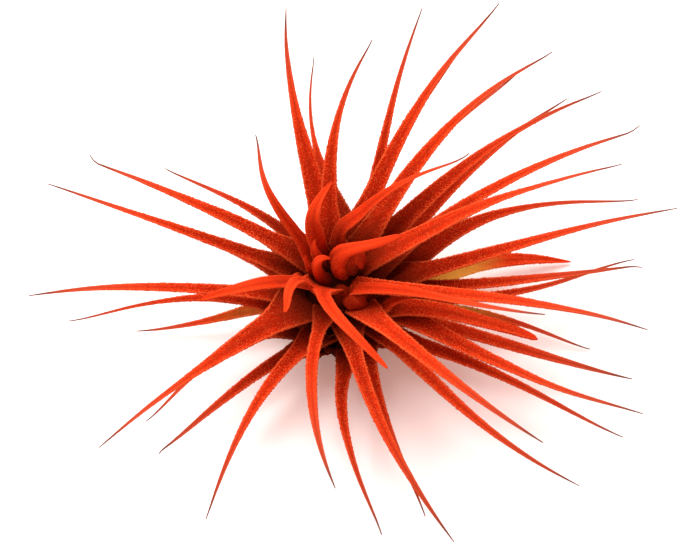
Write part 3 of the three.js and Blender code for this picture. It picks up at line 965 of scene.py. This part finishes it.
def husk_finish():
    finish = Finish("dry husk")
    fibre = finish.noise(FIBRE_PER_METRE, FIBRE_DETAIL)
    stain = finish.noise(STAIN_PER_METRE)
    along = finish.attribute("along")
    colour = finish.mix(fibre.rise(*FIBRE_SPAN), HUSK_DARK, HUSK_LIGHT)
    colour = finish.mix(stain.rise(*STAIN_SPAN) * STAIN_SHARE, colour, DEEP_RED)
    colour = finish.mix(SHADE_SHARE - along.rise(*SHADE_SPAN) * SHADE_SHARE, colour, HUSK_SHADE)
    bump = finish.node("ShaderNodeBump", {}, {"Height": fibre, "Strength": 0.8, "Distance": FIBRE_DEPTH})
    finish.surface(Base_Color=colour, Roughness=0.9, Normal=bump, Specular_IOR_Level=0.05)
    return finish.material


def core_skin():
    heights = np.linspace(0, STEM_TOP_HEIGHT, CORE_STEPS)
    points = []
    for height in heights:
        radius = stem_radius(height) - CORE_INSET
        if height < STEM_WAIST_HEIGHT:
            spread = math.sin(height / STEM_WAIST_HEIGHT * math.pi / 2)
            radius = STEM_FOOT_RADIUS + (radius - STEM_FOOT_RADIUS) * spread
        for side in range(CORE_SIDES):
            points.append(on_bearing(side * 360 / CORE_SIDES, max(radius, CORE_LEAST_RADIUS), height))
    faces = []
    for step in range(CORE_STEPS - 1):
        for side in range(CORE_SIDES):
            here = step * CORE_SIDES + side
            beside = step * CORE_SIDES + (side + 1) % CORE_SIDES
            faces.append((here, beside, beside + CORE_SIDES, here + CORE_SIDES))
    faces.append(tuple(reversed(range(CORE_SIDES))))
    faces.append(tuple((CORE_STEPS - 1) * CORE_SIDES + side for side in range(CORE_SIDES)))
    count = len(points)
    return add_mesh("core", np.array(points), faces, {"along": np.zeros(count)}, np.zeros((count, 3)))


def sheath_section(row, t):
    early, late = SHEATH_TAPER_POWERS
    width = row[-1] * (1 - t**early) ** late + SHEATH_TIP_WIDTH
    return arc_section(float(width), SHEATH_ANGLE, SHEATH_KEEL / 2, SHEATH_KEEL)


def old_base(k):
    height = SHEATH_LOW + (SHEATH_HIGH - SHEATH_LOW) * k / (SHEATHS - 1)
    bearing = k * GOLDEN_ANGLE
    reach = stem_radius(height) + SHEATH_REACH * rng.uniform(*REACH_RANGE)
    rise = SHEATH_RISE * rng.uniform(*RISE_RANGE)
    row = ("old_base", bearing, bearing, reach, height + rise, height, SHEATH_ARCH, 0.0, SHEATH_WIDTH)
    return leaf_skin(row, blade_line, blade_across, sheath_section, stations=SHEATH_STATIONS)


def join_pieces(pieces, name):
    bpy.ops.object.select_all(action="DESELECT")
    for piece in pieces:
        piece.select_set(True)
    bpy.context.view_layer.objects.active = pieces[0]
    bpy.ops.object.join()
    joined = pieces[0]
    joined.name = name
    joined.data.name = name
    joined.select_set(False)
    return joined


stem = join_pieces([core_skin()] + [old_base(k) for k in range(SHEATHS)], "stem_with_husks")
stem.data.materials.append(husk_finish())
finish_piece(stem, "stem")
print("stem faces:", len(stem.data.polygons))

# %% [markdown]
# ## Floor, light and camera
# The plant lies on a plain white surface in soft light from above, behind and to the left, so that its
# shadow falls toward the camera. The surface glows faintly with the warm light that the leaves throw on it.
# The camera looks down steeply from the front.

# %% Set the stage
FLOOR_SIZE = 4.0
FLOOR_WHITE = (0.9, 0.9, 0.9, 1)
FLOOR_GLOW = (1, 0.48, 0.36, 1)
GLOW_STRENGTH = 0.2
CAMERA_RISE = math.radians(62)
CAMERA_DISTANCE = 0.35
PHOTO_WIDTH = 679
METRES_PER_PIXEL = 0.00015
AIM_HEIGHT = 0.015
AIM_SHIFT_PIXELS = 4.5
SENSOR = 36.0
KEY_FROM = (-0.3, 0.36, 0.88)
KEY_STRENGTH = 4.2
KEY_SPREAD = math.radians(50)
SKY_STRENGTH = 0.6
SKY_TINT = (1.0, 0.6, 0.5, 1)
HORIZON_STRENGTH = 1.1
HORIZON_SPAN = (0.05, 0.3)


def white_floor():
    finish = Finish("white surface")
    finish.surface(Base_Color=FLOOR_WHITE, Roughness=0.6)
    finish.surface(Emission_Color=FLOOR_GLOW, Emission_Strength=GLOW_STRENGTH)
    mesh = bpy.data.meshes.new("floor")
    half = FLOOR_SIZE / 2
    corners = [(-half, -half, 0), (half, -half, 0), (half, half, 0), (-half, half, 0)]
    mesh.from_pydata(corners, [], [(0, 1, 2, 3)])
    mesh.materials.append(finish.material)
    floor = bpy.data.objects.new("floor", mesh)
    bpy.context.collection.objects.link(floor)


def soft_key():
    light = bpy.data.lights.new("key", "SUN")
    light.energy = KEY_STRENGTH
    light.angle = KEY_SPREAD
    lamp = bpy.data.objects.new("key", light)
    lamp.location = KEY_FROM
    lamp.rotation_euler = lamp.location.to_track_quat("Z", "Y").to_euler()
    bpy.context.collection.objects.link(lamp)


def pale_sky():
    world = bpy.data.worlds.new("studio")
    world.use_nodes = True
    nodes = world.node_tree.nodes
    place = nodes.new("ShaderNodeTexCoord")
    parts = nodes.new("ShaderNodeSeparateXYZ")
    fade = nodes.new("ShaderNodeMapRange")
    fade.inputs["From Min"].default_value = HORIZON_SPAN[0]
    fade.inputs["From Max"].default_value = HORIZON_SPAN[1]
    fade.inputs["To Min"].default_value = HORIZON_STRENGTH
    fade.inputs["To Max"].default_value = SKY_STRENGTH
    links = world.node_tree.links
    links.new(place.outputs["Generated"], parts.inputs[0])
    links.new(parts.outputs["Z"], fade.inputs["Value"])
    links.new(fade.outputs["Result"], nodes["Background"].inputs["Strength"])
    tint = nodes.new("ShaderNodeMix")
    tint.data_type = "RGBA"
    tint.inputs[6].default_value = (1, 1, 1, 1)
    tint.inputs[7].default_value = SKY_TINT
    links.new(parts.outputs["Z"], tint.inputs["Factor"])
    links.new(tint.outputs[2], nodes["Background"].inputs["Color"])
    bpy.context.scene.world = world


def photo_camera():
    to_camera = np.array([0, -math.cos(CAMERA_RISE), math.sin(CAMERA_RISE)])
    up = np.array([0, math.sin(CAMERA_RISE), math.cos(CAMERA_RISE)])
    aim = np.array([0, 0, AIM_HEIGHT]) + up * AIM_SHIFT_PIXELS * METRES_PER_PIXEL
    data = bpy.data.cameras.new("camera")
    data.sensor_width = SENSOR
    data.sensor_fit = "HORIZONTAL"
    data.lens = SENSOR * CAMERA_DISTANCE / (PHOTO_WIDTH * METRES_PER_PIXEL)
    data.clip_start = 0.01
    camera = bpy.data.objects.new("camera", data)
    camera.location = aim + to_camera * CAMERA_DISTANCE
    camera.rotation_euler = (math.pi / 2 - CAMERA_RISE, 0, 0)
    bpy.context.collection.objects.link(camera)
    bpy.context.scene.camera = camera


white_floor()
soft_key()
pale_sky()
photo_camera()
bpy.context.scene.view_settings.view_transform = "Standard"
print("stage set")
